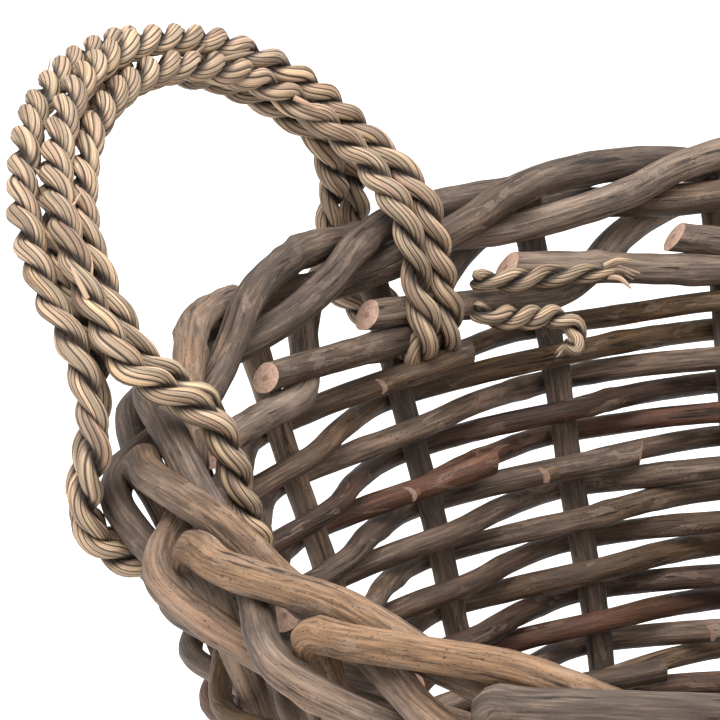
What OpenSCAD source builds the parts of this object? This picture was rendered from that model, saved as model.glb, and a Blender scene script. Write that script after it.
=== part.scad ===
// Round log basket of unpeeled willow rods with two seagrass rope handles.
// The origin is on the floor at the centre of the base, +Z is up, and the handles are on X.

/* [Body] */
// Radius of the ring of stakes where they leave the base
base_r = 154; // [130:1:190]
// Height of the bends in the border above the floor
rim_z = 290; // [230:1:350]
// Outward lean of the wall at the foot, radius per height
foot_slope = 0.20; // [0.10:0.01:0.30]
// Outward lean of the wall at the rim, radius per height
rim_slope = 0.40; // [0.25:0.01:0.45]

/* [Rods] */
// Number of stakes
stake_count = 22; // [20:2:24]
// Thickness of a stake in the wall
stake_d = 8.5; // [7:0.1:9.5]
// Thickness of a stake where it is turned down into the border
border_d = 10.5; // [8.5:0.1:11.5]
// Thickness of a wall weaver
weaver_d = 7.6; // [5.5:0.1:8]
// Height of one row of the wall weave
row_pitch = 8.4; // [8.2:0.1:9.5]
// Thickness of a rod of the wale round the foot
wale_d = 8; // [6:0.1:9]
// Thickness of a base stick
stick_d = 8; // [6:0.1:8.5]
// Thickness of a base weaver
base_weaver_d = 6; // [5:0.1:6.6]
// Gap left between rods that lie on each other
rod_gap = 0.6; // [0.5:0.1:1]

/* [Handles] */
// Thickness of one rope strand
cord_d = 9.5; // [8:0.5:13]
// Half of the distance between the innermost strands of a handle's two legs
loop_half = 96; // [80:1:104]
// Length of the innermost strand's arch from the hinge line to its top
loop_h = 72; // [60:1:110]
// Tilt of the loop outwards from upright, in degrees
loop_tilt = 43; // [20:1:50]
// Thickness of a cut rope end inside the wall
rope_end_d = 8; // [6:0.5:10]

/* [Hidden] */
// Route of a stake in the border, from its bend to its cut end: [stakes passed, outwards, upwards],
// the last two counted in border rods. It runs behind two stakes, in front of the third and
// behind the fourth.
BORDER_RUN = [
    [0.25, -0.12, 0.20], [0.5, -0.4, 0.42], [0.75, -0.75, 0.54], [1, -1.06, 0.58],
    [1.25, -1.2, 0.35], [1.5, -1.25, -0.06], [2, -1.15, -0.44], [2.25, -0.75, -0.62],
    [2.5, -0.15, -0.68], [2.75, 0.6, -0.75], [3, 1.12, -0.95], [3.25, 0.9, -1.3],
    [3.5, 0.35, -1.75], [3.75, -0.45, -2.46], [4, -1.12, -2.7], [4.3, -1.18, -2.4],
    [4.65, -1.2, -1.6], [5, -1.18, -1.46], [5.3, -1.2, -1.44]
];
// Depth of the border below its bends, in border rods
BORDER_ROWS = 3.4;
// Height of a stake's last straight stretch below its bend, in border rods
STAKE_TOP = 0.6;
// Flat sides of a bent rod or rope, and the strands of one handle
SIDES = 6;
STRANDS = 4;
// Where a lashing begins below the hinge line, in strand thicknesses
LASHING_START = 1.02;
// Routes of a lashing strand, [outwards, upwards] from the bends in the border. Outwards is
// first a share of the border's reach, then a length; upwards is a height, from the bends or,
// where the last value is 1, from the border's underside.
LASHED_OUTSIDE = [
    [0.8, 0, 9, 0], [1, 0, -4, 0], [1, 0, -14, 0], [0.75, 0, -25, 0], [0, 3, 5, 1]
];
LASHED_INSIDE = [
    [-0.8, 0, 16, 0], [-1, -1, 4, 0], [-1, -6, -14, 0], [-1, -12.4, -30, 0], [-1, -12.4, -8, 1]
];
// Routes of the two cut rope ends inside the wall: [along the rim from the leg, upwards]
CURLED_END = [[24, -25], [34, -27], [43, -30], [51, -35]];
STRAIGHT_END = [[33, -15.5], [50, -17], [68, -20], [86, -22]];

step_a = 360 / stake_count;
border_pitch = border_d + rod_gap;

// Base: the height of its middle, the stakes' feet in it and its sticks
stick_z = 14;
foot_reach = 40;
foot_heel = 9;
foot_curve = [1.5, 4];
bend_h = 16;
hub = 28;
fan_r = 58;
stick_reach = base_r - 17;
first_bundle = 6;
stick_gap = 0.5;
crossing_gap = 0.4;
base_row_gap = 0.5;
// Foot: the lowest hoop lies this far inside the ring of stakes and is worn flat by this much
foot_inset = 5;
foot_flat = 0.6;
inner_wale_lift = 2;
rim_r = wall_r(rim_z);

wave = (stake_d + weaver_d) / 2 + 1.5 * rod_gap;
top_row_z = rim_z - BORDER_ROWS * border_pitch - weaver_d / 2;
wale_gap = 0.4;
wale_pitch = wale_d + wale_gap;
wale_min = 3;
weave_min_z = stick_z + wale_min * wale_pitch + weaver_d;
course_count = floor(((top_row_z - weave_min_z) / row_pitch + 1) / 2);
bottom_row_z = top_row_z - (2 * course_count - 1) * row_pitch;
wale_rows = floor((bottom_row_z - weaver_d / 2 - stick_z) / wale_pitch + 0.5);

strand_gap = 0.7;
strand_pitch = cord_d + strand_gap;
// A handle's strands lie in two layers, and each is this share of a strand further out
stack_pitch = 0.52 * strand_pitch;
// The hinge line clears the border's highest rods by half a strand and this much
hinge_lift = 5;
hinge_z = rim_z + 0.6 * border_pitch + border_d / 2 + cord_d / 2 + hinge_lift;
leg_y = loop_half + (STRANDS - 1) / 2 * stack_pitch;
hinge_r = sqrt(pow(rim_r, 2) - pow(leg_y, 2));

// Wall: the radius of the stakes' centre line at a height, and its lean there
function lean(z) = foot_slope + (rim_slope - foot_slope) * (z - stick_z) / (rim_z - stick_z);
function wall_r(z) = base_r + (foot_slope + lean(z)) / 2 * (z - stick_z);

function polar(r, a, z) = [r * cos(a), r * sin(a), z];
function unit(v) = v / norm(v);

// A point beside the wall: out along the wall's normal from the stakes' centre line
function beside_wall(a, z, out) =
    let (n = unit([1, -lean(z)]))
    polar(wall_r(z) + out * n[0], a, z + out * n[1]);

// A tube through the points. ups holds a direction across the tube at each point.
function tangent(path, i, closed) =
    let (n = len(path))
    closed ? unit(path[(i + 1) % n] - path[(i + n - 1) % n])
           : unit(path[min(i + 1, n - 1)] - path[max(i - 1, 0)]);

function ring(centre, along, up, d, sides) =
    let (
        across = unit(up - (up * along) * along),
        side = cross(along, across)
    )
    [for (k = [0:sides - 1])
        centre + d / 2 * (cos(360 * k / sides) * across + sin(360 * k / sides) * side)];

module tube(path, ups, ds, closed = false, sides = SIDES) {
    n = len(path);
    rings = [for (i = [0:n - 1]) each ring(path[i], tangent(path, i, closed), ups[i], ds[i], sides)];
    spans = closed ? n : n - 1;
    walls = [
        for (i = [0:spans - 1], k = [0:sides - 1])
            let (j = (i + 1) % n, m = (k + 1) % sides)
            each [
                [i * sides + k, j * sides + k, j * sides + m],
                [i * sides + k, j * sides + m, i * sides + m]
            ]
    ];
    caps = closed ? [] : [
        [for (k = [0:sides - 1]) k],
        [for (k = [0:sides - 1]) n * sides - 1 - k]
    ];
    polyhedron(points = rings, faces = concat(walls, caps), convexity = 10);
}

// Stakes: a foot in the base, the wall, and a long run woven into the border
function stake_angle(i) = (i - 0.5) * step_a;

function stake_foot() = [
    [base_r - foot_reach, stick_z],
    [base_r - foot_heel, stick_z],
    [base_r - foot_curve[0], stick_z + foot_curve[1]],
    [wall_r(stick_z + bend_h), stick_z + bend_h]
];

function stake_wall() =
    let (z0 = stick_z + bend_h, z1 = top_row_z + weaver_d / 2, n = 4)
    [for (k = [1:n]) let (z = z0 + (z1 - z0) * k / n) [wall_r(z), z]];

function stake_top() =
    let (z = rim_z - STAKE_TOP * border_pitch)
    [[wall_r(z), z], [rim_r - 0.5, rim_z - 1]];

function border_point(i, p) =
    let (h = p[2] * border_pitch)
    polar(
        rim_r + rim_slope * h + p[1] * border_pitch,
        stake_angle(i) + p[0] * step_a,
        rim_z + h
    );

module stake(i) {
    a = stake_angle(i);
    low = concat(stake_foot(), stake_wall());
    rise = concat(low, stake_top());
    path = concat(
        [for (p = rise) polar(p[0], a, p[1])],
        [for (p = BORDER_RUN) border_point(i, p)]
    );
    ups = concat(
        [for (p = rise) polar(1, a + 90, 0)],
        [for (p = BORDER_RUN) polar(0.6, a + p[0] * step_a, 0.8)]
    );
    ds = [for (k = [0:len(path) - 1]) k < len(low) ? stake_d : border_d];
    color("#6b5a49") tube(path, ups, ds);
}

// Wall weave: each course is two rods, one behind the stakes that the other is in front of
function weave_row(z, parity) = [
    for (k = [0:2 * stake_count - 1])
        let (on_stake = k % 2 == 0, front = (k / 2 + parity) % 2 == 0)
        beside_wall((k + 1) / 2 * step_a, z, on_stake ? (front ? wave : -wave) : 0)
];

module weave_course(c) {
    color(c % 3 == 0 ? "#4b3a31" : "#75624c")
    for (r = [0, 1]) {
        path = weave_row(top_row_z - (2 * (c - 1) + r) * row_pitch, r);
        tube(path, [for (p = path) [0, 0, 1]], [for (p = path) weaver_d], closed = true);
    }
}

// A round hoop of rod
module hoop(r, z, d) {
    translate([0, 0, z]) rotate_extrude($fn = 96) translate([r, 0]) circle(d = d, $fn = 24);
}

// Foot: hoops outside the bent stakes, one inside, and one beneath that is worn flat
module foot_wale() {
    foot_z = wale_d / 2 - foot_flat;
    out = (stake_d + wale_d) / 2 + rod_gap;
    color("#6f5c46") {
        difference() {
            hoop(base_r - foot_inset, foot_z, wale_d);
            translate([0, 0, -wale_d]) cylinder(r = 2 * base_r, h = wale_d);
        }
        for (k = [0:wale_rows - 1]) {
            z = stick_z + k * wale_pitch;
            hoop(wall_r(z) + out / cos(atan(lean(z))), z, wale_d);
        }
        for (k = [0:wale_rows - 3]) {
            z = stick_z + out + inner_wale_lift + k * wale_pitch;
            hoop(wall_r(z) - out / cos(atan(lean(z))), z, wale_d);
        }
    }
}

// Base: sticks in two crossed bundles that fan out to one end for each gap between stakes
module base_sticks() {
    bundles = [first_bundle, stake_count / 2 - first_bundle];
    pitch = stick_d + stick_gap;
    lift = (stick_d + crossing_gap) / 2;
    color("#5d4c3b")
    for (b = [0, 1], k = [0:bundles[b] - 1]) {
        n = bundles[b];
        off = (k - (n - 1) / 2) * pitch;
        // The ends of the two bundles share the circle in order
        spread = (k - (n - 1) / 2) * step_a;
        z = stick_z + (b == 0 ? -lift : lift);
        path = [
            [stick_reach * cos(spread), stick_reach * sin(spread), stick_z],
            [fan_r * cos(spread), fan_r * sin(spread), stick_z],
            [hub, off, z],
            [0, off, z],
            [-hub, off, z],
            [-fan_r * cos(spread), fan_r * sin(spread), stick_z],
            [-stick_reach * cos(spread), stick_reach * sin(spread), stick_z]
        ];
        rotate([0, 0, 90 * b + step_a / 2])
        tube(path, [for (p = path) [0, 0, 1]], [for (p = path) stick_d]);
    }
}

module base_weave() {
    z_off = (max(stick_d, stake_d) + base_weaver_d) / 2 + base_row_gap;
    pitch = base_weaver_d + base_row_gap;
    r0 = fan_r + stick_d / 2;
    rows = floor((stick_reach - r0) / pitch);
    color("#6a5641")
    for (k = [0:rows], s = [-1, 1]) {
        hoop(r0 + k * pitch, stick_z + s * z_off, base_weaver_d);
    }
}

// Handles: four strands from leg to leg in two layers, the even ones in the outer layer
function strand_point(j, t) =
    let (
        layer = (j % 2 == 0 ? -0.5 : 0.5) * sqrt(pow(strand_pitch, 2) - pow(stack_pitch, 2)),
        further = (j - 1) * stack_pitch,
        rise = (loop_h + further) * sin(t)
    )
    [
        -hinge_r - rise * sin(loop_tilt) + layer * cos(loop_tilt),
        -(loop_half + further) * cos(t),
        hinge_z + rise * cos(loop_tilt) + layer * sin(loop_tilt)
    ];

module strand(j) {
    n = 16;
    ts = [for (k = [0:n]) 180 * k / n];
    r = cord_d / 2;
    arch = [for (t = ts) strand_point(j, t)];
    first = arch[0];
    last = arch[n];
    path = concat(
        [first - [0, 0, 0.85 * r], first - [0, 0, 0.5 * r]],
        arch,
        [last - [0, 0, 0.5 * r], last - [0, 0, 0.85 * r]]
    );
    round_end = [0.5 * cord_d, 0.86 * cord_d];
    ds = concat(round_end, [for (t = ts) cord_d], [round_end[1], round_end[0]]);
    color("#a98e5f") tube(path, [for (p = path) [1, 0, 0]], ds);
}

// Lashings: the strands below the hinge line, two outside the border and two inside it
lashing_clear = cord_d / 2 + strand_gap;
border_out = 1.12 * border_pitch + border_d / 2;
border_in = 1.2 * border_pitch + border_d / 2;

function lashing_route(outside) =
    let (
        reach = lashing_clear + (outside ? border_out - rim_slope * 0.95 * border_pitch : border_in),
        low = -BORDER_ROWS * border_pitch
    )
    [for (p = outside ? LASHED_OUTSIDE : LASHED_INSIDE) [p[0] * reach + p[1], p[2] + p[3] * low]];

module lashing(leg) {
    a = atan2(leg * leg_y, -hinge_r);
    out = [cos(a), sin(a), 0];
    along = leg * [sin(a), -cos(a), 0];
    color("#a98e5f")
    for (j = [1:STRANDS]) {
        hinge = strand_point(j, leg < 0 ? 0 : 180);
        across = (j - (STRANDS + 1) / 2) * stack_pitch;
        route = [
            for (p = lashing_route(j % 2 == 0))
                (rim_r + p[0]) * out + across * along + [0, 0, rim_z + p[1]]
        ];
        start = hinge + LASHING_START * cord_d * unit(route[0] - hinge);
        path = concat([start], route);
        tube(path, [for (p = path) along], [for (p = path) cord_d]);
    }
}

// The two rope ends that are pulled through to the inside beside the back leg
module rope_end(route) {
    deep = border_in + rope_end_d / 2 + strand_gap;
    leg_a = atan2(leg_y, -hinge_r);
    path = [
        for (p = route)
            polar(
                rim_r + rim_slope * p[1] - deep,
                leg_a - p[0] / rim_r * 180 / PI,
                rim_z + p[1]
            )
    ];
    color("#b59a6a")
    tube(path, [for (p = path) [0, 0, 1]], [for (p = path) rope_end_d]);
}

module rope_ends() {
    rope_end(CURLED_END);
    rope_end(STRAIGHT_END);
}

base_sticks();
base_weave();
foot_wale();
for (i = [1:stake_count]) {
    stake(i);
}
for (i = [1:course_count]) {
    weave_course(i);
}
for (j = [1:STRANDS]) {
    strand(j);
    rotate([0, 0, 180]) strand(j);
}
lashing(-1);  // lashing_left_front
lashing(1);  // lashing_left_back
rotate([0, 0, 180]) lashing(1);  // lashing_right_front
rotate([0, 0, 180]) lashing(-1);  // lashing_right_back
rope_ends();  // rope_ends_left
rotate([0, 0, 180]) rope_ends();  // rope_ends_right
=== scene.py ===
"""Looks of the wicker log basket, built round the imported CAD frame.

Every rod and rope is a swept mesh on or close to its CAD solid's route, with bark relief, knots,
tapers and cut ends in the mesh, and procedural bark, cut wood and seagrass on it.
"""

import math

import bpy
import numpy as np
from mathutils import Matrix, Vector


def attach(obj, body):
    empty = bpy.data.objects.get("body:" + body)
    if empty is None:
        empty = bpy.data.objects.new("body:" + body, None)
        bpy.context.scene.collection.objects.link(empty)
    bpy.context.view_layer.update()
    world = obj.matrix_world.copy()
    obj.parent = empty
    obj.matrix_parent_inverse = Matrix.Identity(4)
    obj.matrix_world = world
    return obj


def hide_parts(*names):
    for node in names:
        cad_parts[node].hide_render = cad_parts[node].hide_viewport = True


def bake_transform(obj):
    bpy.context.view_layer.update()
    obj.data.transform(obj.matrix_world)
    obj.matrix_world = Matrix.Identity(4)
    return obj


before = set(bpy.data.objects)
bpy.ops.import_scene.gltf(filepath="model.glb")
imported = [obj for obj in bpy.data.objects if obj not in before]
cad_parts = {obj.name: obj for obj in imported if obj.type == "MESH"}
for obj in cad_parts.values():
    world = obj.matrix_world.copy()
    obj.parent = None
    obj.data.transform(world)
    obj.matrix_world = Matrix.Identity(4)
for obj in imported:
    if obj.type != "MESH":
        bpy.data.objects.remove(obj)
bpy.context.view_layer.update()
rng = np.random.default_rng(22)

# ---------------------------------------------------------------- sizes, in metres, as in part.scad
MM = 0.001
BASE_R = 154 * MM
RIM_Z = 290 * MM
FOOT_SLOPE, RIM_SLOPE = 0.20, 0.40
STICK_Z = 14 * MM
STAKES = 22
STEP = 2 * math.pi / STAKES
STAKE_D = 8.5 * MM
BORDER_D = 10.5 * MM
WEAVER_D = 7.6 * MM
WALE_D = 8 * MM
STICK_D = 8 * MM
ROD_GAP = 0.6 * MM
ROW_PITCH = 8.4 * MM
WALE_PITCH = 8.4 * MM
CORD_D = 9.5 * MM
ROPE_END_D = 8 * MM
STRAND_GAP = 0.7 * MM
LOOP_HALF = 96 * MM
LOOP_H = 72 * MM
LOOP_TILT = math.radians(43)
BORDER_ROWS = 3.4
BORDER_PITCH = BORDER_D + ROD_GAP
TOP_ROW_Z = RIM_Z - BORDER_ROWS * BORDER_PITCH - WEAVER_D / 2
COURSES = sum(1 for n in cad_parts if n.startswith("weave_course_"))
WAVE = (STAKE_D + WEAVER_D) / 2 + 1.5 * ROD_GAP
# The border's reach inwards from its bends
BORDER_IN = 1.2 * BORDER_PITCH + BORDER_D / 2
STRANDS = 4
STRAND_PITCH = CORD_D + STRAND_GAP
STACK_PITCH = 0.52 * STRAND_PITCH
HINGE_Z = RIM_Z + 0.6 * BORDER_PITCH + BORDER_D / 2 + CORD_D / 2 + 5 * MM

# A stake's route in the border: stakes passed, outwards and upwards in border rods. Its last
# points lie straighter than in part.scad, where the rods have to stay apart.
BORDER_RUN = [
    (0.25, -0.12, 0.20), (0.5, -0.4, 0.42), (0.75, -0.75, 0.54), (1, -1.06, 0.58),
    (1.25, -1.2, 0.35), (1.5, -1.25, -0.06), (2, -1.15, -0.44), (2.25, -0.75, -0.62),
    (2.5, -0.15, -0.68), (2.75, 0.6, -0.75), (3, 1.12, -0.95), (3.25, 0.9, -1.3),
    (3.5, 0.35, -1.75), (3.75, -0.45, -2.27), (4, -1.08, -2.45), (4.3, -1.2, -2.32),
    (4.65, -1.22, -2.04), (5, -1.2, -1.7), (5.3, -1.18, -1.42),
]
# Routes of a lashing strand from the border's bends: outwards, as a share of the border's reach
# and then in mm, and upwards in mm, from the bends or, where the last value is 1, the underside
LASHED_OUTSIDE = [
    (0.8, 0, 10, 0), (1, -1, -2, 0), (1, -1, -11, 0), (0.75, 0, -20, 0), (0, -4, 8, 1),
]
LASHED_INSIDE = [
    (-0.8, 0, 16, 0), (-1, -1, 4, 0), (-1, -4.5, -12, 0), (-1, -8, -25, 0), (-0.7, -6, -35, 0),
]


def lean(z):
    """The stakes' slope at a height: how far outwards for each length upwards."""
    return FOOT_SLOPE + (RIM_SLOPE - FOOT_SLOPE) * (z - STICK_Z) / (RIM_Z - STICK_Z)


def wall_r(z):
    """The radius of the stakes' middle line at a height."""
    return BASE_R + (FOOT_SLOPE + lean(z)) / 2 * (z - STICK_Z)


RIM_R = wall_r(RIM_Z)
LEG_Y = LOOP_HALF + (STRANDS - 1) / 2 * STACK_PITCH
HINGE_R = math.sqrt(RIM_R**2 - LEG_Y**2)


def polar(r, a, z):
    return np.array([r * math.cos(a), r * math.sin(a), z])


def beside_wall(a, z, out):
    slope = math.atan(lean(z))
    return polar(wall_r(z) + out * math.cos(slope), a, z - out * math.sin(slope))


# ---------------------------------------------------------------- camera, lights and floor
# The photograph is a close view of the left part, from 2 m off through a long lens
CAMERA_AZIMUTH, CAMERA_ELEVATION = math.radians(18.9), math.radians(21.66)
CAMERA_DISTANCE = 8.47 * RIM_R
LENS, SENSOR = 338.0, 36.0
# Where the rim's centre lies from the middle of the picture, as a slope to the camera's axis
RIM_RIGHT, RIM_DOWN = 0.0857, 0.0106


def make_camera():
    ca, sa = math.cos(CAMERA_AZIMUTH), math.sin(CAMERA_AZIMUTH)
    ce, se = math.cos(CAMERA_ELEVATION), math.sin(CAMERA_ELEVATION)
    forward = Vector((-sa * ce, ca * ce, -se))
    right = Vector((ca, sa, 0))
    up = right.cross(forward)
    away = forward + right * RIM_RIGHT - up * RIM_DOWN
    data = bpy.data.cameras.new("camera")
    data.lens, data.sensor_width = LENS, SENSOR
    data.clip_start, data.clip_end = 0.1, 60
    camera = bpy.data.objects.new("camera", data)
    camera.location = Vector((0, 0, RIM_Z)) - away * CAMERA_DISTANCE
    camera.rotation_mode = "QUATERNION"
    camera.rotation_quaternion = forward.to_track_quat("-Z", "Y")
    bpy.context.scene.collection.objects.link(camera)
    bpy.context.scene.camera = camera


# Lamps: name, azimuth, elevation, distance, size, power
LAMPS = [
    ("key", -18, 64, 2.2, 1.3, 50),
    ("fill", 62, 38, 2.6, 1.8, 16),
    ("back", 165, 62, 2.6, 1.4, 34),
]
WORLD_COLOUR, WORLD_STRENGTH = (1.0, 0.995, 0.99, 1), 0.9
FLOOR_SIZE, FLOOR_DROP = 30, 0.2 * MM
FLOOR_COLOUR, FLOOR_ROUGHNESS = (0.93, 0.925, 0.92, 1), 0.9


def add_light(name, azimuth, elevation, distance, size, power):
    """A soft square lamp that faces the basket from that direction."""
    a, e = math.radians(azimuth), math.radians(elevation)
    back = Vector((math.sin(a) * math.cos(e), -math.cos(a) * math.cos(e), math.sin(e)))
    data = bpy.data.lights.new(name, "AREA")
    data.size, data.energy = size, power
    lamp = bpy.data.objects.new(name, data)
    lamp.location = Vector((0, 0, RIM_Z / 2)) + back * distance
    lamp.rotation_mode = "QUATERNION"
    lamp.rotation_quaternion = (-back).to_track_quat("-Z", "Y")
    bpy.context.scene.collection.objects.link(lamp)


def make_studio():
    scene = bpy.context.scene
    world = bpy.data.worlds.new("studio")
    world.use_nodes = True
    background = world.node_tree.nodes["Background"]
    background.inputs["Color"].default_value = WORLD_COLOUR
    background.inputs["Strength"].default_value = WORLD_STRENGTH
    scene.world = world
    scene.view_settings.view_transform = "Standard"
    for lamp in LAMPS:
        add_light(*lamp)
    bpy.ops.mesh.primitive_plane_add(size=FLOOR_SIZE, location=(0, 0, -FLOOR_DROP))
    floor = bpy.context.object
    floor.name = "floor"
    material = bpy.data.materials.new("pale_floor")
    material.use_nodes = True
    shader = material.node_tree.nodes["Principled BSDF"]
    shader.inputs["Base Color"].default_value = FLOOR_COLOUR
    shader.inputs["Roughness"].default_value = FLOOR_ROUGHNESS
    floor.data.materials.append(material)


# ---------------------------------------------------------------- sweeps
# Samples of a curve between two of its points, before it is cut into equal steps
SAMPLES = 14
# The end of the range of random phases, in radians
ROUND = 6.28
# A direction that no rod runs along, for the first normal of a sweep
ANY_UP = (0.13, 0.21, 0.97)
# Rings of a tube's end, as shares of its radius
CAP_RINGS = np.array([1.0, 0.93, 0.7, 0.4, 0.14, 0.02])
PLY_CAP_RINGS = np.array([1.0, 0.8, 0.5, 0.2, 0.03])


def smooth_path(points, step, closed=False):
    """A centripetal Catmull-Rom curve through the points, a step apart. Columns after the
    first three, such as a radius, go along."""
    p = np.asarray(points, float)
    if closed:
        ext = np.vstack([p[-1], p, p[0], p[1]])
    else:
        ext = np.vstack([2 * p[0] - p[1], p, 2 * p[-1] - p[-2]])
    dense = []
    for i in range(1, len(ext) - 2):
        a, b, c, d = ext[i - 1 : i + 3]
        t1 = max(np.linalg.norm((b - a)[:3]), 1e-7) ** 0.5
        t2 = t1 + max(np.linalg.norm((c - b)[:3]), 1e-7) ** 0.5
        t3 = t2 + max(np.linalg.norm((d - c)[:3]), 1e-7) ** 0.5
        t = np.linspace(t1, t2, SAMPLES, endpoint=False)[:, None]
        l1 = a + (b - a) * t / t1
        l2 = b + (c - b) * (t - t1) / (t2 - t1)
        l3 = c + (d - c) * (t - t2) / (t3 - t2)
        m1 = l1 + (l2 - l1) * t / t2
        m2 = l2 + (l3 - l2) * (t - t1) / (t3 - t1)
        dense.append(m1 + (m2 - m1) * (t - t1) / (t2 - t1))
    dense.append(p[:1] if closed else p[-1:])
    dense = np.vstack(dense)
    lengths = np.linalg.norm(np.diff(dense[:, :3], axis=0), axis=1)
    along = np.concatenate([[0], np.cumsum(lengths)])
    count = max(int(round(along[-1] / step)), 4)
    at = np.linspace(0, along[-1], count + 1)
    if closed:
        at = at[:-1]
    out = np.stack([np.interp(at, along, dense[:, k]) for k in range(dense.shape[1])], 1)
    return out, at


def frames(path, closed=False, up=None):
    """Tangent, normal and side at each point, turned as little as possible along the path."""
    if closed:
        tangent = np.roll(path, -1, 0) - np.roll(path, 1, 0)
    else:
        tangent = np.gradient(path, axis=0)
    tangent /= np.linalg.norm(tangent, axis=1)[:, None]
    normal = np.empty_like(path)
    n = np.array(up if up is not None else ANY_UP, float)
    for i, t in enumerate(tangent):
        n = n - (n @ t) * t
        n /= np.linalg.norm(n)
        normal[i] = n
    if closed:
        t = tangent[0]
        last = normal[-1] - (normal[-1] @ t) * t
        last /= np.linalg.norm(last)
        turn = math.atan2(np.cross(last, normal[0]) @ t, last @ normal[0])
        a = turn * np.linspace(0, 1, len(path), endpoint=False)[:, None]
        normal = normal * np.cos(a) + np.cross(tangent, normal) * np.sin(a)
    return tangent, normal, np.cross(tangent, normal)


class Piece:
    """Collects swept tubes and makes one mesh object of them."""

    def __init__(self, name):
        self.name, self.count = name, 0
        self.points, self.rod, self.tone, self.quads, self.slots = [], [], [], [], []

    def add(self, points, rod, tone, quads, slot):
        self.points.append(points)
        self.rod.append(rod)
        self.tone.append(np.broadcast_to(tone, points.shape))
        self.quads.append(quads + self.count)
        self.slots.append(np.full(len(quads), slot))
        self.count += len(points)

    def grid(self, rings, rod, tone, slot, closed):
        n, m = rings.shape[:2]
        i = np.arange(n if closed else n - 1)[:, None]
        k = np.arange(m)[None, :]
        j, q = (i + 1) % n, (k + 1) % m
        quads = np.stack(np.broadcast_arrays(i * m + k, i * m + q, j * m + q, j * m + k), -1)
        self.add(rings.reshape(-1, 3), rod.reshape(-1, 3), tone, quads.reshape(-1, 4), slot)

    def cap(self, ring, rod, tone, slot, tangent, bulge):
        """Closes a tube with rings that shrink to its middle; bulge is how far the middle
        stands out along tangent."""
        shares = CAP_RINGS
        middle, rod_middle = ring.mean(0), np.array([rod[:, 0].mean(), 0, 0])
        lift = bulge * (1 - shares**2)
        rings = middle + (ring - middle) * shares[:, None, None] + tangent * lift[:, None, None]
        cords = rod_middle + (rod - rod_middle) * shares[:, None, None]
        self.grid(rings, cords, tone, slot, False)

    def build(self, materials, replaced, body=None):
        mesh = bpy.data.meshes.new(self.name)
        points, quads = np.vstack(self.points), np.vstack(self.quads)
        mesh.vertices.add(len(points))
        mesh.vertices.foreach_set("co", points.astype(np.float32).ravel())
        mesh.loops.add(quads.size)
        mesh.loops.foreach_set("vertex_index", quads.astype(np.int32).ravel())
        mesh.polygons.add(len(quads))
        mesh.polygons.foreach_set("loop_start", np.arange(0, quads.size, 4, dtype=np.int32))
        mesh.polygons.foreach_set("material_index", np.concatenate(self.slots).astype(np.int32))
        mesh.update(calc_edges=True)
        mesh.validate()
        mesh.shade_smooth()
        for name, values in (("rod", self.rod), ("tone", self.tone)):
            made = mesh.attributes.new(name, "FLOAT_VECTOR", "POINT")
            made.data.foreach_set("vector", np.vstack(values).astype(np.float32).ravel())
        for material in materials:
            mesh.materials.append(material)
        obj = bpy.data.objects.new(self.name, mesh)
        bpy.context.scene.collection.objects.link(obj)
        if body:
            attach(obj, body)
        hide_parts(*replaced)
        return obj


def relief(s, theta, waves, turns, scale):
    """Random smooth relief over a rod: a sum of waves along it and round it."""
    out = np.zeros(np.broadcast(s, theta).shape)
    for _ in range(waves):
        k = rng.integers(turns[0], turns[1] + 1)
        w = rng.uniform(-1, 1) * scale
        out += np.cos(k * theta + w * s + rng.uniform(0, 2 * math.pi))
    return out / math.sqrt(waves)


# Bud scars: their swelling round the whole rod, the hump, the dent above it, as shares of the
# rod's radius, and how narrow the hump and the dent are
BUD_RING, BUD_HUMP, BUD_DENT = 0.05, 0.16, 0.12
HUMP_FOCUS, DENT_FOCUS = 7, 40
BUD_SIZE, BUD_SPACING = 4.2 * MM, 75 * MM


def knots(s, theta, length, count, size):
    """Bud scars: small humps with a ring of swelling round the rod."""
    out = np.zeros(np.broadcast(s, theta).shape)
    for _ in range(count):
        at, side = rng.uniform(0.03, 0.97) * length, rng.uniform(0, 2 * math.pi)
        wide = rng.uniform(0.8, 1.3) * size
        off_side = np.cos(theta - side) - 1
        near = np.exp(-(((s - at) / wide) ** 2))
        dent = np.exp(-(((s - at - 0.4 * wide) / (0.35 * wide)) ** 2)) * np.exp(off_side * DENT_FOCUS)
        out += near * (BUD_RING + BUD_HUMP * np.exp(off_side * HUMP_FOCUS)) - BUD_DENT * dent
    return out


# How far a rod wanders from its route, how long a hard bend's swelling is, and how far from a
# closed rod's seam its relief fades out
WANDER, BEND_LENGTH, SEAM_LENGTH = 0.35 * MM, 6 * MM, 12 * MM
# Relief of the bark: depth, number of waves, waves round the rod, waves along it
BARK_RELIEF = [(0.030, 5, (1, 3), 60), (0.022, 6, (3, 7), 90), (0.012, 8, (0, 5), 700)]
# Which way a cut end slants, in radians round the rod
SLANT_SIDE = 1.3
# How far the middle of an end stands out, in radii: a cut one and a rounded one
CUT_BULGE, ROUND_BULGE = 0.1, 0.7


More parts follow.
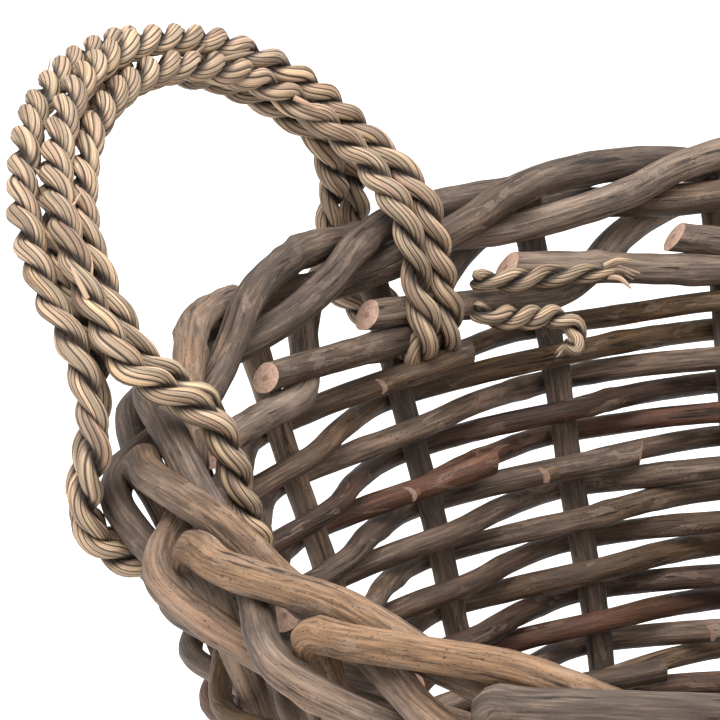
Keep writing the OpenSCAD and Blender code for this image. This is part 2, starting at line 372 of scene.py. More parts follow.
def rod(piece, points, tone, step=2.6 * MM, sides=16, closed=False, up=None, rough=1.0,
        knot_count=None, cut=(None, None), bruise=()):
    """Sweeps a rod of bark along points, whose 4th column is its radius. cut gives each end's
    slant in degrees, or None for a rounded end. bruise lists lengths along it where it is
    bent hard and swells."""
    path, s = smooth_path(points, step, closed)
    centre, radius = path[:, :3], path[:, 3]
    length = s[-1]
    wander = WANDER * rough
    for axis in range(3):
        phase, w = rng.uniform(0, ROUND), rng.uniform(40, 90)
        if closed:
            w = 2 * math.pi * round(w * length / 6.283) / (length + step)
        centre[:, axis] += wander * np.sin(w * s + phase) * (0.4 if axis == 2 else 1)
    tangent, normal, side = frames(centre, closed, up)
    theta = np.linspace(0, 2 * math.pi, sides, endpoint=False)[None, :]
    sc = s[:, None]
    shape = 1 + rough * sum(
        depth * relief(sc, theta, waves, turns, scale) for depth, waves, turns, scale in BARK_RELIEF
    )
    if knot_count is None:
        knot_count = int(length / BUD_SPACING) + 1
    shape = shape + rough * knots(sc, theta, length, knot_count, BUD_SIZE)
    for at in bruise:
        near = np.exp(-(((sc - at) / BEND_LENGTH) ** 2))
        shape = shape + near * (0.08 + 0.05 * relief(sc, theta, 5, (2, 6), 900))
    if closed:
        shape = (shape - 1) * np.minimum(1, np.minimum(sc, length - sc) / SEAM_LENGTH) + 1
    r = radius[:, None] * shape
    cos, sin = np.cos(theta), np.sin(theta)
    rings = centre[:, None] + (r * cos)[..., None] * normal[:, None]
    rings = rings + (r * sin)[..., None] * side[:, None]
    offset = rng.uniform(-8, 8)
    mean = radius[:, None]
    cords = np.stack(np.broadcast_arrays(sc + offset, mean * cos, mean * sin), -1)
    ends = () if closed else ((0, 1, -1, cut[0]), (-1, -2, 1, cut[1]))
    for end, next_ring, sign, slant in ends:
        if slant is not None:
            way = tangent[end] * sign
            slant_way = math.cos(SLANT_SIDE) * normal[end] + math.sin(SLANT_SIDE) * side[end]
            push = ((rings[end] - centre[end]) @ slant_way) * math.tan(math.radians(slant))
            rings[end] += push[:, None] * way
            rings[next_ring] += 0.5 * push[:, None] * way
    piece.grid(rings, cords, tone, 0, closed)
    for end, _, sign, slant in ends:
        ring, cord = rings[end], cords[end]
        if sign < 0:
            ring, cord = ring[::-1], cord[::-1]
        bulge = (ROUND_BULGE if slant is None else CUT_BULGE) * radius[end]
        piece.cap(ring, cord, tone, 0 if slant is None else 1, tangent[end] * sign, bulge)


# ---------------------------------------------------------------- materials
class Graph:
    """A material's node tree, with short calls for the nodes that the materials here use."""

    def __init__(self, name):
        self.material = bpy.data.materials.new(name)
        self.material.use_nodes = True
        self.tree = self.material.node_tree
        self.shader = self.tree.nodes["Principled BSDF"]

    def put(self, socket, value):
        if isinstance(value, bpy.types.NodeSocket):
            self.tree.links.new(value, socket)
        else:
            socket.default_value = value

    def node(self, kind, outputs=0, **settings):
        made = self.tree.nodes.new(kind)
        inputs = settings.pop("inputs", {})
        for key, value in settings.items():
            setattr(made, key, value)
        for key, value in inputs.items():
            self.put(made.inputs[key], value)
        return made.outputs[outputs]

    def attribute(self, name):
        return self.node("ShaderNodeAttribute", "Vector", attribute_name=name)

    def parts(self, vector):
        made = self.tree.nodes.new("ShaderNodeSeparateXYZ")
        self.put(made.inputs[0], vector)
        return made.outputs

    def scaled(self, vector, scale):
        return self.node("ShaderNodeVectorMath", 0, operation="MULTIPLY",
                         inputs={0: vector, 1: scale})

    def noise(self, vector, detail=3.0, rough=0.55, distortion=0.0):
        inputs = {"Vector": vector, "Scale": 1.0, "Detail": detail, "Roughness": rough,
                  "Distortion": distortion}
        return self.node("ShaderNodeTexNoise", 0, inputs=inputs)

    def math(self, operation, a, b=0.0, c=0.0):
        return self.node("ShaderNodeMath", 0, operation=operation, inputs={0: a, 1: b, 2: c})

    def ramp(self, value, stops):
        made = self.tree.nodes.new("ShaderNodeValToRGB")
        ramp = made.color_ramp
        while len(ramp.elements) < len(stops):
            ramp.elements.new(0.5)
        for element, (at, colour) in zip(ramp.elements, stops):
            element.position = at
            element.color = (*(colour if isinstance(colour, tuple) else (colour,) * 3), 1)
        self.put(made.inputs[0], value)
        return made.outputs[0]

    def mix(self, share, a, b, blend="MIX"):
        made = self.tree.nodes.new("ShaderNodeMix")
        made.data_type, made.blend_type = "RGBA", blend
        self.put(made.inputs[0], share)
        for socket, value in ((made.inputs[6], a), (made.inputs[7], b)):
            self.put(socket, (*value, 1) if isinstance(value, tuple) else value)
        return made.outputs[2]

    def bump(self, height, distance, strength=1.0, normal=None):
        inputs = {"Height": height, "Distance": distance, "Strength": strength}
        if normal is not None:
            inputs["Normal"] = normal
        return self.node("ShaderNodeBump", 0, inputs=inputs)

    def finish(self, colour, roughness, normal, specular=0.3):
        self.put(self.shader.inputs["Base Color"], colour)
        self.put(self.shader.inputs["Roughness"], roughness)
        self.put(self.shader.inputs["Normal"], normal)
        self.shader.inputs["Specular IOR Level"].default_value = specular
        return self.material


def scaled_colour(colour, factor):
    return tuple(min(1, factor * v) for v in colour)


def bark(name, dark, middle, light, gold, red, gloss):
    """Unpeeled willow bark. tone holds, for each rod, its lightness, how golden it is and how
    red; the grain runs along the rod."""
    g = Graph(name)
    rod_space = g.attribute("rod")
    tone = g.parts(g.attribute("tone"))
    fibre = g.noise(g.scaled(rod_space, (60, 1300, 1300)), 5.0, 0.68, 0.2)
    streak = g.noise(g.scaled(rod_space, (38, 480, 480)), 4.0, 0.62, 0.4)
    blotch = g.noise(g.scaled(rod_space, (26, 120, 120)), 4.0, 0.6, 0.8)
    patch = g.noise(g.scaled(rod_space, (9, 34, 34)), 2.0, 0.5, 0.5)
    speck = g.noise(g.scaled(rod_space, (900, 1500, 1500)), 2.0, 0.5)
    mixed = g.math("ADD", g.math("MULTIPLY", fibre, 0.42), g.math("MULTIPLY", streak, 0.28))
    mixed = g.math("ADD", mixed, g.math("MULTIPLY", blotch, 0.30))
    # tone's lightness moves the whole ramp, so that a dark rod keeps its light scratches
    mixed = g.math("ADD", mixed, g.math("MULTIPLY_ADD", tone[0], 0.22, -0.11))
    half_dark = tuple(0.5 * (a + b) for a, b in zip(dark, middle))
    colour = g.ramp(mixed, [(0.32, dark), (0.44, half_dark), (0.51, middle), (0.61, light),
                            (0.74, scaled_colour(light, 1.6))])
    golden = g.ramp(g.math("ADD", g.math("MULTIPLY", patch, 0.6), g.math("MULTIPLY", tone[1], 0.5)),
                    [(0.42, 0.0), (0.62, 0.85)])
    colour = g.mix(golden, colour, g.mix(1.0, colour, gold, "MULTIPLY"))
    reddish = g.ramp(g.math("ADD", g.math("MULTIPLY", blotch, 0.5), g.math("MULTIPLY", tone[2], 0.6)),
                     [(0.40, 0.0), (0.72, 0.9)])
    colour = g.mix(reddish, colour, g.mix(1.0, colour, red, "MULTIPLY"))
    # Flakes where the outer bark is rubbed off
    flake = g.noise(g.scaled(rod_space, (70, 260, 260)), 3.0, 0.6, 0.6)
    rubbed = g.math("MULTIPLY", g.ramp(flake, [(0.585, 0.0), (0.605, 0.75)]),
                    g.ramp(patch, [(0.42, 0.25), (0.6, 1.0)]))
    colour = g.mix(rubbed, colour, g.mix(0.5, colour, scaled_colour(light, 1.25)))
    # Black specks and long scratches where the bark is split
    specks = g.ramp(speck, [(0.30, 0.75), (0.37, 0.0)])
    patchy = g.ramp(patch, [(0.40, 0.1), (0.55, 1.0)])
    colour = g.mix(g.math("MULTIPLY", specks, patchy), colour, scaled_colour(dark, 0.35))
    split = g.ramp(streak, [(0.33, 0.8), (0.375, 0.0)])
    colour = g.mix(split, colour, scaled_colour(dark, 0.55))
    rough = g.ramp(mixed, [(0.35, gloss), (0.7, min(1.0, gloss + 0.2))])
    height = g.math("ADD", g.math("MULTIPLY", fibre, 0.45), g.math("MULTIPLY", streak, 0.55))
    height = g.math("SUBTRACT", height, g.math("MULTIPLY", split, 0.35))
    height = g.math("SUBTRACT", height, g.math("MULTIPLY", rubbed, 0.18))
    normal = g.bump(height, 0.9 * MM, 1.0)
    normal = g.bump(g.math("MULTIPLY", speck, 0.5), 0.3 * MM, 0.6, normal)
    return g.finish(colour, rough, normal, 0.28)


def cut_wood():
    """A sawn or snipped end: pale pinkish wood with rings and a darker pith."""
    g = Graph("cut_wood")
    rod_space = g.attribute("rod")
    across = g.node("ShaderNodeVectorMath", "Value", operation="LENGTH",
                    inputs={0: g.scaled(rod_space, (0, 1, 1))})
    grain = g.noise(g.scaled(rod_space, (900, 900, 900)), 4.0, 0.65)
    outwards = g.math("MULTIPLY", across, 3200.0)
    rings = g.noise(g.node("ShaderNodeCombineXYZ", 0, inputs={"X": outwards}), 2.0)
    value = g.math("ADD", g.math("MULTIPLY", grain, 0.6), g.math("MULTIPLY", rings, 0.4))
    colour = g.ramp(value, [(0.30, (0.23, 0.13, 0.09)), (0.5, (0.45, 0.29, 0.215)),
                            (0.7, (0.62, 0.44, 0.345))])
    pith = g.ramp(g.math("DIVIDE", across, 1.3 * MM), [(0.45, 1.0), (0.95, 0.0)])
    colour = g.mix(g.math("MULTIPLY", pith, 0.7), colour, (0.20, 0.115, 0.08))
    normal = g.bump(value, 0.5 * MM, 0.8)
    return g.finish(colour, 0.85, normal, 0.2)


def seagrass():
    """Dried seagrass blades: straw and tan, with greenish, pinkish and orange blades, painted shade in
    the creases between them and painted shade where the plies touch. rod holds the way along a ply,
    how far round it in blades, and how near the place is to the other ply."""
    g = Graph("seagrass")
    space = g.parts(g.attribute("rod"))
    tone = g.parts(g.attribute("tone"))
    blade = g.math("FLOOR", space[1])
    inside = g.math("FRACT", space[1])

    def joined(x, y, z=0.0):
        return g.node("ShaderNodeCombineXYZ", 0, inputs={"X": x, "Y": y, "Z": z})

    def chance(vector):
        return g.node("ShaderNodeTexWhiteNoise", "Value", noise_dimensions="3D",
                      inputs={"Vector": vector})

    # One pick for each blade, and one for each stretch of it
    pick = chance(joined(blade, g.math("MULTIPLY", tone[0], 97.0)))
    stretch = g.math("FLOOR", g.math("MULTIPLY", space[0], 24.0))
    pick2 = chance(joined(blade, g.math("MULTIPLY", tone[0], 31.0), stretch))
    vein = g.noise(joined(g.math("MULTIPLY", space[0], 26.0), g.math("MULTIPLY", space[1], 7.0), pick),
                   4.0, 0.65)
    cloud = g.noise(joined(g.math("MULTIPLY", space[0], 55.0), g.math("MULTIPLY", space[1], 0.8),
                           tone[0]), 3.0)
    colour = g.ramp(pick, [(0.05, (0.28, 0.20, 0.135)), (0.3, (0.41, 0.295, 0.20)),
                           (0.55, (0.50, 0.36, 0.24)), (0.78, (0.43, 0.29, 0.20)),
                           (0.95, (0.58, 0.40, 0.24))])
    green = g.ramp(pick2, [(0.78, 0.0), (0.84, 0.4)])
    colour = g.mix(green, colour, (0.28, 0.235, 0.15))
    pink = g.ramp(pick2, [(0.12, 0.5), (0.18, 0.0)])
    colour = g.mix(pink, colour, (0.33, 0.185, 0.130))
    shade = g.ramp(vein, [(0.30, 0.26), (0.46, 0.80), (0.62, 1.22)])
    colour = g.mix(1.0, colour, shade, "MULTIPLY")
    clouds = g.ramp(cloud, [(0.30, 0.58), (0.6, 1.15)])
    colour = g.mix(1.0, colour, clouds, "MULTIPLY")
    # Painted shade in the creases between blades, darkest at each blade's edge
    edge = g.math("MULTIPLY", g.math("SUBTRACT", 1.0, inside), inside)
    blade_crease_shade = g.ramp(edge, [(0.03, 0.97), (0.14, 0.0)])
    colour = g.mix(blade_crease_shade, colour, (0.034, 0.022, 0.015))
    hair = g.ramp(vein, [(0.30, 0.6), (0.36, 0.0)])
    colour = g.mix(hair, colour, (0.055, 0.036, 0.024))
    # Painted shade, darkest where the plies touch
    ply_contact_shade = g.ramp(space[2], [(0.22, 0.0), (0.75, 0.93)])
    colour = g.mix(ply_contact_shade, colour, (0.022, 0.014, 0.010))
    height = g.math("SUBTRACT", g.math("MULTIPLY", vein, 0.6), g.math("MULTIPLY", blade_crease_shade, 0.6))
    normal = g.bump(height, 0.35 * MM, 0.9)
    return g.finish(colour, 0.62, normal, 0.35)


# ---------------------------------------------------------------- tones: lightness, gold, red
def tone_of(light, gold, red):
    return np.array([light, gold, red]) + rng.uniform(-0.04, 0.04, 3)


def random_tone(low, high, gold=0.35, red=0.3):
    return np.array([rng.uniform(low, high), rng.uniform(0, gold), rng.uniform(0, red)])


# ---------------------------------------------------------------- stakes and border
# Stakes whose look the photograph shows, the golden one and the dark grey one among them
STAKE_TONES = {
    13: (0.62, 0.42, 0.12), 14: (0.72, 0.40, 0.15), 15: (0.78, 0.70, 0.05), 16: (0.35, 0.1, 0.1),
}
# How much thinner a stake's cut end is than its bend
STAKE_TAPER = 0.10


def stake(i, materials):
    a = (i - 0.5) * STEP
    r_wall = STAKE_D / 2 * rng.uniform(0.96, 1.06)
    r_border = BORDER_D / 2 * rng.uniform(0.97, 1.05)
    z0, z1 = STICK_Z + 16 * MM, TOP_ROW_Z + WEAVER_D / 2
    # The heel between the base sticks, the turn at the foot, and the wall
    rise = [(BASE_R - 40 * MM, STICK_Z), (BASE_R - 9 * MM, STICK_Z),
            (BASE_R - 1.5 * MM, STICK_Z + 4 * MM), (wall_r(z0), z0)]
    rise += [(wall_r(z), z) for z in (z0 + (z1 - z0) * k / 4 for k in range(1, 5))]
    points = [(*polar(r, a, z), r_wall) for r, z in rise]
    top_z = RIM_Z - 0.6 * BORDER_PITCH
    points.append((*polar(wall_r(top_z), a, top_z), r_border))
    # The hard bend over the rim
    points.append((*polar(RIM_R - 0.3 * MM, a - 0.01 * STEP, RIM_Z - 3 * MM), r_border * 1.03))
    points.append((*polar(RIM_R - 0.3 * MM, a + 0.03 * STEP, RIM_Z + 0.2 * MM), r_border * 1.05))
    points.append((*polar(RIM_R - 0.6 * MM, a + 0.12 * STEP, RIM_Z + 1.2 * MM), r_border))
    lift = rng.uniform(-0.06, 0.06)
    for s, out, up in BORDER_RUN:
        h = (up + lift * (0.2 < s < 3.2)) * BORDER_PITCH
        taper = 1 - STAKE_TAPER * s / BORDER_RUN[-1][0]
        r = RIM_R + RIM_SLOPE * h + out * BORDER_PITCH
        points.append((*polar(r, a + s * STEP, RIM_Z + h), r_border * taper))
    piece = Piece(f"stake_rod_{i}")
    tone = tone_of(*STAKE_TONES[i]) if i in STAKE_TONES else random_tone(0.3, 0.85)
    low_length = sum(math.dist(points[k][:3], points[k + 1][:3]) for k in range(9))
    rod(piece, points, tone, step=2.2 * MM, sides=20, cut=(8, rng.uniform(-32, 32)),
        bruise=(low_length,), rough=1.15)
    return piece.build(materials, [f"stake_{i}"], "basket")


# ---------------------------------------------------------------- wall weave
def row_tone(row):
    """Rows counted from the top: two of 12 are near-black, and one of 7 is red-brown."""
    if row % 12 in (3, 10):
        return tone_of(0.02, 0.0, 0.55)
    if row % 7 == 4:
        return tone_of(0.30, 0.05, 0.9)
    return random_tone(0.15, 0.75, 0.6, 0.5)


def weave_course(c, materials):
    piece = Piece(f"weave_rods_{c}")
    for r in (0, 1):
        row = 2 * (c - 1) + r
        z = TOP_ROW_Z - row * ROW_PITCH
        # Each row is two weavers, butted inside behind a stake
        first = int(rng.integers(0, STAKES // 2)) * 2 + (1 - r)
        half = int(rng.integers(4, 7)) * 2
        for start, count in ((first, half), (first + half, STAKES - half)):
            points = []
            butt = WEAVER_D / 2 * rng.uniform(1.0, 1.08)
            tip = WEAVER_D / 2 * rng.uniform(0.86, 0.94)
            a = (start + 0.5) * STEP
            points.append((*beside_wall(a - 0.30 * STEP, z + 0.3 * MM, -WAVE - 8.2 * MM), butt))
            points.append((*beside_wall(a - 0.05 * STEP, z, -WAVE - 6.2 * MM), butt))
            for k in range(1, 2 * count):
                where = (start + k / 2 + 0.5) * STEP
                if k % 2:
                    out = 0.0
                else:
                    out = WAVE if (start + k // 2 + r) % 2 == 0 else -WAVE
                size = butt + (tip - butt) * k / (2 * count)
                points.append((*beside_wall(where, z + rng.normal(0, 0.25 * MM), out), size))
            end = (start + count + 0.5) * STEP
            points.append((*beside_wall(end, z, -WAVE + 0.4 * MM), tip))
            last = beside_wall(end + 0.3 * STEP, z - 0.5 * MM, -WAVE - 0.5 * MM)
            points.append((*last, tip * 0.8))
            rod(piece, points, row_tone(row), step=3.0 * MM, sides=14, up=(0, 0, 1),
                cut=(rng.uniform(5, 30), 20), rough=0.95)
    return piece.build(materials, [f"weave_course_{c}"], "basket")


# ---------------------------------------------------------------- foot
# The foot's lowest ring: two thin rods twisted round each other, which stand on the floor
RING_RODS, RING_TURNS = 2, 33
RING_R, RING_Z = BASE_R - 5 * MM, 4.15 * MM
RING_TWIST_ACROSS, RING_TWIST_UP, RING_ROD_R = 2.0 * MM, 1.7 * MM, 2.5 * MM


def foot_wale(materials):
    """Two rounds of three-rod wale, behind one stake and in front of two, and the lowest ring."""
    piece = Piece("foot_wale_rods")
    slopes = (0.0, WALE_PITCH / 2, -WALE_PITCH / 2)
    out_side = (STAKE_D + WALE_D) / 2 + ROD_GAP
    rounds = ((STICK_Z + WALE_PITCH / 2, 5 * MM), (STICK_Z + 2.5 * WALE_PITCH, 0.0))
    for round_z, inner_lift in rounds:
        for m in range(3):
            points = []
            for k in range(m, STAKES + m + 1):
                phase = (k - m) % 3
                a = (k + 0.5) * STEP
                z = round_z + slopes[phase]
                if phase == 0:
                    points.append((*beside_wall(a, z + inner_lift, -out_side), WALE_D / 2))
                else:
                    points.append((*beside_wall(a, z, out_side), WALE_D / 2))
            rod(piece, points, random_tone(0.3, 0.8, 0.5, 0.4), step=3.2 * MM, sides=14,
                up=(0, 0, 1), cut=(25, 25))
    for m in range(RING_RODS):
        angles = np.linspace(0, 2 * math.pi, RING_TURNS * 8, endpoint=False)
        twist = RING_TURNS * angles + m * math.pi
        points = [
            (*polar(RING_R + RING_TWIST_ACROSS * math.cos(t), a, RING_Z + RING_TWIST_UP * math.sin(t)),
             RING_ROD_R)
            for a, t in zip(angles, twist)
        ]
        rod(piece, points, random_tone(0.3, 0.6), step=2.6 * MM, sides=12, closed=True,
            up=(0, 0, 1), knot_count=12)
    # Worn flat where it stands
    for points in piece.points:
        points[:, 2] = np.maximum(points[:, 2], 0.0)
    return piece.build(materials, ["foot_wale"], "basket")


# Base sticks: how far they reach, where they begin to fan out and where they lie parallel, how
# far apart there, and how far each of the two bundles is off the base's middle height
STICK_REACH, STICK_FAN, STICK_HUB = BASE_R - 17 * MM, 58 * MM, 28 * MM
STICK_PITCH, STICK_LIFT = 8.5 * MM, 4.2 * MM
FIRST_BUNDLE = 6
# Base weave: its first row's radius and its pitch, the heels' reach, and a pair of weavers' twist
BASE_FIRST_R, BASE_ROW_PITCH, HEEL_R = 62 * MM, 6.5 * MM, BASE_R - 44 * MM
PAIR_UP, PAIR_ACROSS, PAIR_ROD_R = 7.35 * MM, 1.2 * MM, 2.75 * MM


def base_sticks(materials):
    """Two bundles that cross in the middle and fan out to the foot."""
    piece = Piece("base_stick_rods")
    pitch, hub, fan, reach, lift = STICK_PITCH, STICK_HUB, STICK_FAN, STICK_REACH, STICK_LIFT
    for b, n in ((0, FIRST_BUNDLE), (1, STAKES // 2 - FIRST_BUNDLE)):
        turn = math.pi / 2 * b + STEP / 2
        ct, st = math.cos(turn), math.sin(turn)
        turn_by = np.array([[ct, -st, 0], [st, ct, 0], [0, 0, 1]])
        for k in range(n):
            off, spread = (k - (n - 1) / 2) * pitch, (k - (n - 1) / 2) * STEP
            z = STICK_Z + (lift if b else -lift)
            c, s = math.cos(spread), math.sin(spread)
            path = [(reach * c, reach * s, STICK_Z), (fan * c, fan * s, STICK_Z), (hub, off, z),
                    (0, off, z), (-hub, off, z), (-fan * c, fan * s, STICK_Z),
                    (-reach * c, reach * s, STICK_Z)]
            points = [(*(turn_by @ np.array(p)), STICK_D / 2 * rng.uniform(0.97, 1.02)) for p in path]
            rod(piece, points, random_tone(0.3, 0.75), step=3.0 * MM, sides=14, up=(0, 0, 1),
                cut=(10, -10))
    return piece.build(materials, ["base_sticks"], "basket")


def base_weave(materials):
    """Rows of two weavers twisted round the sticks."""
    piece = Piece("base_weave_rods")
    rows = int((STICK_REACH - BASE_FIRST_R) / BASE_ROW_PITCH) + 1
    for row in range(rows):
        r = BASE_FIRST_R + row * BASE_ROW_PITCH
        # Past the heels of the stakes there is a stake between every two sticks
        spokes = STAKES if r < HEEL_R else 2 * STAKES
        for m in (0, 1):
            points = []
            for k in range(spokes * 4):
                a = STEP + 2 * math.pi * k / (spokes * 4)
                phase = math.pi * k / 4 + math.pi * m
                z = STICK_Z + PAIR_UP * math.cos(phase)
                points.append((*polar(r + PAIR_ACROSS * math.sin(phase), a, z), PAIR_ROD_R))
            tone = random_tone(0.2, 0.8, 0.6, 0.5)
            rod(piece, points, tone, step=2.8 * MM, sides=12, closed=True, up=(0, 0, 1),
                knot_count=5, rough=0.9)
    return piece.build(materials, ["base_weave"], "basket")


# ---------------------------------------------------------------- rope
# A ply: its sides and blades, its radius and its distance from the strand's middle as shares of
# the strand's radius, and the lengths of its irregularities and of its own twist, in pitches
PLY_SIDES, BLADES = 36, 9
PLY_R, PLY_OUT = 0.54, 0.47
UNEVEN_PITCHES, SPIN_PITCHES = 2.7, 2.6
SWELL_LENGTH = 41 * MM
# What the count of the blades starts at, so that it never goes below 0
FIRST_BLADE = 50.0


def ply(piece, centre, normal, side, s, phase, strand_r, tone, pitch):
    """One of a strand's two plies: a bundle of blades, laid left-handed round the strand and
    twisted the other way in itself."""
    blades = BLADES
    turn = -2 * math.pi * s / pitch + phase
    uneven = 2 * math.pi * s / (pitch * UNEVEN_PITCHES) + rng.uniform(0, ROUND)
    turn = turn + 0.35 * np.sin(uneven)
    swell = 1 + 0.07 * np.sin(2 * math.pi * s / SWELL_LENGTH + rng.uniform(0, ROUND))
    r_ply = PLY_R * strand_r * swell
    out = PLY_OUT * strand_r
    middle = centre + (np.cos(turn) * out)[:, None] * normal + (np.sin(turn) * out)[:, None] * side
    along, across, up = frames(middle, False, normal[0])
    theta = np.linspace(0, 2 * math.pi, PLY_SIDES, endpoint=False)[None, :]
    sc = s[:, None]
    spin = 2 * math.pi * sc / (pitch * SPIN_PITCHES) + rng.uniform(0, ROUND)
    # The blades are of different widths
    local = theta - spin
    warp = local + 0.32 * np.sin(local + rng.uniform(0, ROUND))
    warp = warp + 0.18 * np.sin(2 * local + rng.uniform(0, ROUND))
    place = warp / (2 * math.pi) * blades
    fold = np.abs(np.sin(math.pi * place))
    shape = 0.88 + 0.15 * fold**0.5 + 0.05 * relief(sc, theta, 5, (1, 3), 260)
    r = (r_ply[:, None]) * shape
    rings = middle[:, None] + (r * np.cos(theta))[..., None] * across[:, None]
    rings = rings + (r * np.sin(theta))[..., None] * up[:, None]
    away = (middle - centre) / out[:, None]
    facing = np.cos(theta) * np.sum(across * away, 1)[:, None]
    facing = facing + np.sin(theta) * np.sum(up * away, 1)[:, None]
    # How much the place faces the other ply: the mask of the painted shade where the plies touch
    ply_contact_shade = np.clip(0.5 - 0.75 * facing, 0, 1)
    cords = np.stack(np.broadcast_arrays(sc + tone[0] * 7, place + FIRST_BLADE, ply_contact_shade), -1)
    n, m = rings.shape[:2]
    # The seam repeats its first column, so that the blades' count can wrap
    rings = np.concatenate([rings, rings[:, :1]], 1)
    last = cords[:, :1].copy()
    last[..., 1] += blades
    cords = np.concatenate([cords, last], 1)
    i, k = np.arange(n - 1)[:, None], np.arange(m)[None, :]
    w = m + 1
    quads = np.stack([i * w + k, i * w + k + 1, (i + 1) * w + k + 1, (i + 1) * w + k], -1)
    piece.add(rings.reshape(-1, 3), cords.reshape(-1, 3), tone, quads.reshape(-1, 4), 0)
    for end, sign in ((0, -1), (-1, 1)):
        ring, cord = rings[end][:-1], cords[end][:-1]
        if sign < 0:
            ring, cord = ring[::-1], cord[::-1]
        shares, mid = PLY_CAP_RINGS, ring.mean(0)
        lift = 0.8 * r_ply[end] * (1 - shares**2)
        caps = mid + (ring - mid) * shares[:, None, None] + along[end] * sign * lift[:, None, None]
        piece.grid(caps, np.broadcast_to(cord, caps.shape), tone, 0, False)


def strand_tone(seed):
    return np.array([seed, 0.0, 0.0])


def strand(piece, points, pitch, seed, step=1.25 * MM):
    path, s = smooth_path(points, step)
    centre, radius = path[:, :3], path[:, 3]
    _, normal, side = frames(centre, False, (1, 0, 0))
    for m in (0, 1):
        phase, tone = m * math.pi + seed * 5.1, strand_tone(seed + 0.37 * m)
        ply(piece, centre, normal, side, s, phase, radius, tone, pitch)


def wisp(piece, points, seed):
    """A loose blade of grass, flat and pointed."""
    path, s = smooth_path(points, 0.8 * MM)
    centre, radius = path[:, :3], path[:, 3]
    _, normal, side = frames(centre)
    theta = np.linspace(0, 2 * math.pi, 6, endpoint=False)[None, :]
    r = radius[:, None]
    rings = centre[:, None] + (r * np.cos(theta))[..., None] * normal[:, None]
    rings = rings + (0.35 * r * np.sin(theta))[..., None] * side[:, None]
    # The middle of a blade, away from the painted crease shade between blades
    middle = FIRST_BLADE + 0.5 + 0.06 * np.cos(theta)
    cords = np.stack(np.broadcast_arrays(s[:, None] + seed * 7, middle, 0 * r), -1)
    piece.grid(rings, cords, strand_tone(seed), 0, False)


# Broken blades on a strand, and how many points at each of its ends have none
WISPS, WISP_FREE = 3, 6


def wisps(piece, points):
    """A few broken blades that stand off a strand."""
    places = np.array([p[:3] for p in points])
    for _ in range(WISPS):
        k = int(rng.integers(WISP_FREE, len(places) - WISP_FREE))
        way = places[k + 1] - places[k]
        way = way / np.linalg.norm(way)
        off = np.cross(way, rng.normal(0, 1, 3))
        off = off / np.linalg.norm(off)
        start = places[k] + off * 0.38 * CORD_D
        length = rng.uniform(7, 13) * MM
        bent = [start, start + (0.5 * way + 0.25 * off) * length,
                start + (0.85 * way + 0.42 * off) * length]
        wisp(piece, [(*p, w * MM) for p, w in zip(bent, (0.9, 0.8, 0.25))], rng.uniform(0, 1))


def arch_point(j, t, sway):
    """A place on strand j's arch: the even strands lie in the outer layer."""
    between = math.sqrt(STRAND_PITCH**2 - STACK_PITCH**2)
    layer = (-0.5 if j % 2 == 0 else 0.5) * between + sway
    further, a = (j - 1) * STACK_PITCH, math.radians(t)
    rise = (LOOP_H + further) * math.sin(a)
    return np.array([-HINGE_R - rise * math.sin(LOOP_TILT) + layer * math.cos(LOOP_TILT),
                     -(LOOP_HALF + further) * math.cos(a),
                     HINGE_Z + rise * math.cos(LOOP_TILT) + layer * math.sin(LOOP_TILT)])


def lashed(j, leg):
    """The strand's way from the hinge line down over the border, from the top."""
    a = math.atan2(leg * LEG_Y, -HINGE_R)
    out, along = polar(1, a, 0), leg * np.array([math.sin(a), -math.cos(a), 0])
    outside = j % 2 == 0
    clear = CORD_D / 2 + STRAND_GAP
    border_out = 1.12 * BORDER_PITCH + BORDER_D / 2 - RIM_SLOPE * 0.95 * BORDER_PITCH
    reach = clear + (border_out if outside else BORDER_IN)
    low = -BORDER_ROWS * BORDER_PITCH
    across = (j - (STRANDS + 1) / 2) * STACK_PITCH
    route = []
    for share, more, height, from_low in (LASHED_OUTSIDE if outside else LASHED_INSIDE):
        u, h = share * reach + more * MM, height * MM + from_low * low
        route.append((RIM_R + u) * out + across * along + np.array([0, 0, RIM_Z + h]))
    return route


# The stretch on each side of the hinge line over which a rope bends
STRAND_LAY, CURL_LAY, TUFT_LAY = 25 * MM, 19 * MM, 26 * MM


def turned(side):
    """The right side is the left one turned half round."""
    return np.diag([1.0, 1.0, 1.0]) if side == "left" else np.diag([-1.0, -1.0, 1.0])


def handle(side, materials):
    turn, body = turned(side), f"handle_{side}"
    for j in range(1, STRANDS + 1):
        arch = [arch_point(j, t, 0.6 * MM * math.sin(t / 19 + 2.1 * j))
                for t in np.linspace(0, 180, 25)]
        front, back = lashed(j, -1), lashed(j, 1)
        # The outer strands come down straight past the rim, the inner ones turn in over it
        skip = 2 if j % 2 == 0 else 1
        route = front[::-1] + arch[skip:-skip] + back
        points = [(*(turn @ p), CORD_D / 2 * rng.uniform(1.02, 1.1)) for p in route]
        piece = Piece(f"rope_{side}_{j}")
        strand(piece, points, STRAND_LAY * rng.uniform(0.94, 1.06), rng.uniform(0, 1))
        wisps(piece, points)
        nodes = [f"handle_{side}_strand_{j}", f"lashing_{side}_front", f"lashing_{side}_back"]
        obj = piece.build(materials, nodes)
        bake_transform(obj)


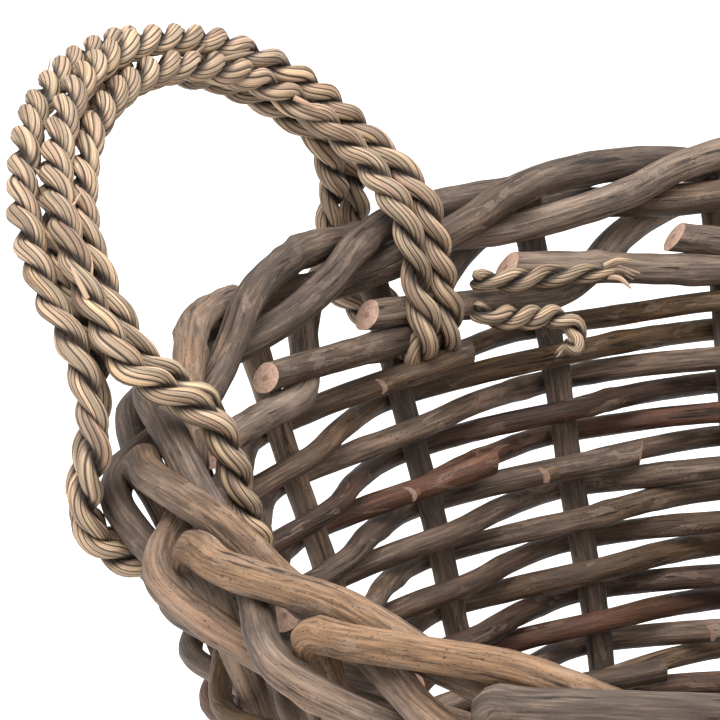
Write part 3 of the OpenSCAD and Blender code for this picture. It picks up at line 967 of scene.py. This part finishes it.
def rope_ends(side, materials):
    """The curled and the straight cut end inside the wall, with their loose blades."""
    turn = turned(side)
    piece = Piece(f"rope_ends_{side}_blades")
    leg_a = math.atan2(LEG_Y, -HINGE_R)
    deep = BORDER_IN + ROPE_END_D / 2 + STRAND_GAP

    def at(along, up, inward=0.0):
        r = RIM_R + RIM_SLOPE * up * MM - deep - inward * MM
        return polar(r, leg_a - along * MM / RIM_R, RIM_Z + up * MM)

    # Along the rim from the leg, up from the bends and inwards, in mm
    curl = [(17, -22, -1), (24, -25, 0), (34, -27, 0), (42, -28, 0.5), (50, -29, 1.5),
            (56, -32, 2.5), (56.5, -36.5, 3.5), (52.5, -38.5, 4.5), (49.5, -36, 5.5)]
    thickness = (0.85, 1, 1, 1, 1, 0.98, 0.95, 0.85, 0.6)
    points = [(*(turn @ at(*p)), ROPE_END_D / 2 * w) for p, w in zip(curl, thickness)]
    strand(piece, points, CURL_LAY, rng.uniform(0, 1))
    tuft = [(20, -13, -1), (33, -15.5, 0), (50, -17, 0), (66, -18.5, 0), (78, -20, 0)]
    thickness = (0.85, 1, 0.95, 0.85, 0.5)
    points = [(*(turn @ at(*p)), ROPE_END_D / 2 * w) for p, w in zip(tuft, thickness)]
    strand(piece, points, TUFT_LAY, rng.uniform(0, 1))
    # The blades come loose at the straight end's tip, and a few at the curl's
    for root, count, spread in (((76, -19.5, 0), 9, 1.0), ((51, -37.5, 5), 7, 0.45)):
        for _ in range(count):
            u, v, w = rng.uniform(-1, 1, 3) * spread
            reach = rng.uniform(8, 15) * spread
            sign = 1 if spread == 1.0 else -1
            bent = [(root[0] + u, root[1] + 1.5 * v, root[2] + 1.5 * w),
                    (root[0] + sign * 0.5 * reach, root[1] + 2.5 * v, root[2] + 2 * w),
                    (root[0] + sign * reach, root[1] + 4 * v - 2 * spread, root[2] + 2.5 * w)]
            places = [(*(turn @ at(*p)), r * MM) for p, r in zip(bent, (1.0, 0.9, 0.3))]
            wisp(piece, places, rng.uniform(0, 1))
    return piece.build(materials, [f"rope_ends_{side}"], "basket")


# ---------------------------------------------------------------- the basket
make_camera()
make_studio()

# Each bark: its dark, middle and light colours, what gold and red multiply them by, and its gloss
border_bark = bark("border_bark", (0.030, 0.021, 0.017), (0.098, 0.070, 0.053), (0.225, 0.165, 0.125),
                   (1.28, 1.0, 0.70), (0.98, 0.74, 0.64), 0.62)
weaver_bark = bark("weaver_bark", (0.030, 0.019, 0.015), (0.112, 0.074, 0.052), (0.25, 0.178, 0.130),
                   (1.15, 0.98, 0.62), (1.0, 0.62, 0.48), 0.5)
wale_bark = bark("wale_bark", (0.036, 0.025, 0.019), (0.115, 0.079, 0.057), (0.26, 0.19, 0.14),
                 (1.2, 0.98, 0.62), (1.0, 0.66, 0.5), 0.58)
base_bark = bark("base_bark", (0.036, 0.025, 0.019), (0.115, 0.080, 0.059), (0.26, 0.19, 0.14),
                 (1.15, 0.98, 0.66), (1.0, 0.68, 0.54), 0.62)
end_wood = cut_wood()
grass = seagrass()

for number in range(1, STAKES + 1):
    stake(number, [border_bark, end_wood])
for number in range(1, COURSES + 1):
    weave_course(number, [weaver_bark, end_wood])
foot_wale([wale_bark, end_wood])
base_sticks([base_bark, end_wood])
base_weave([base_bark, end_wood])
for which in ("left", "right"):
    handle(which, [grass])
    rope_ends(which, [grass])
